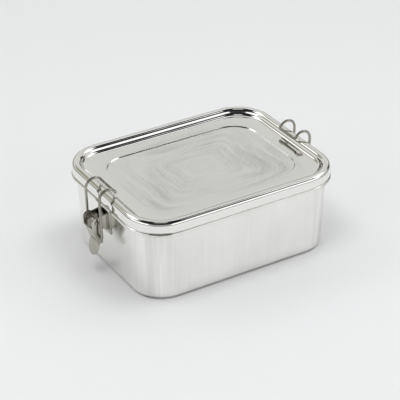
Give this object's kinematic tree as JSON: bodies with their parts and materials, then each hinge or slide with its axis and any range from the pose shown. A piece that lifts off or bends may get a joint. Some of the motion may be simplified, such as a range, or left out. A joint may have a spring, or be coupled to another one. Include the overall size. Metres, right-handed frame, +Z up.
{
  "type": "lunch box",
  "caption": "Rectangular stainless steel lunch box with rounded corners, a rimmed lift-off lid with a seal, and a wire toggle latch on each short end.",
  "frame": {"origin": "centre of the base, on the surface the box stands on", "axes": "+X along the length to the right-hand latch, +Z up, -Y to the long front side"},
  "size_m": [0.1892, 0.1312, 0.0728],
  "materials": {
    "tray_steel": "polished",
    "lid_steel": "polished, with lapping marks on the panel",
    "latch_steel": "tumbled",
    "wire_steel": "bright drawn",
    "silicone": "matt"
  },
  "bodies": {
    "tray": {"tray": "tray_steel", "left_bracket": "latch_steel", "left_pin": "wire_steel", "left_sleeve": "wire_steel", "right_bracket": "latch_steel", "right_pin": "wire_steel", "right_sleeve": "wire_steel"},
    "lid": {"lid": "lid_steel", "seal": "silicone"},
    "left_lever": {"left_lever": "latch_steel"},
    "left_bail": {"left_bail": "wire_steel"},
    "right_lever": {"right_lever": "latch_steel"},
    "right_bail": {"right_bail": "wire_steel"}
  },
  "joints": [
    {"name": "lid_lift", "type": "slide", "parent": "tray", "child": "lid", "axis": [0, 0, 1], "range_m": [0, 0.01]},
    {"name": "left_lever_swing", "type": "hinge", "parent": "tray", "child": "left_lever", "pos_m": [-0.0904, 0, 0.045], "axis": [0, 1, 0], "range_deg": [0, 100]},
    {"name": "left_bail_swing", "type": "hinge", "parent": "left_lever", "child": "left_bail", "pos_m": [-0.0886, 0, 0.0332], "axis": [0, -1, 0], "range_deg": [0, 260]},
    {"name": "right_lever_swing", "type": "hinge", "parent": "tray", "child": "right_lever", "pos_m": [0.0904, 0, 0.045], "axis": [0, -1, 0], "range_deg": [0, 100]},
    {"name": "right_bail_swing", "type": "hinge", "parent": "right_lever", "child": "right_bail", "pos_m": [0.0886, 0, 0.0332], "axis": [0, 1, 0], "range_deg": [0, 260]}
  ],
  "couplings": [
    {"joint": "left_lever_swing", "follows": "lid_lift", "rad_per_m": 174.53},
    {"joint": "left_bail_swing", "follows": "lid_lift", "rad_per_m": 453.79},
    {"joint": "right_lever_swing", "follows": "lid_lift", "rad_per_m": 174.53},
    {"joint": "right_bail_swing", "follows": "lid_lift", "rad_per_m": 453.79}
  ]
}
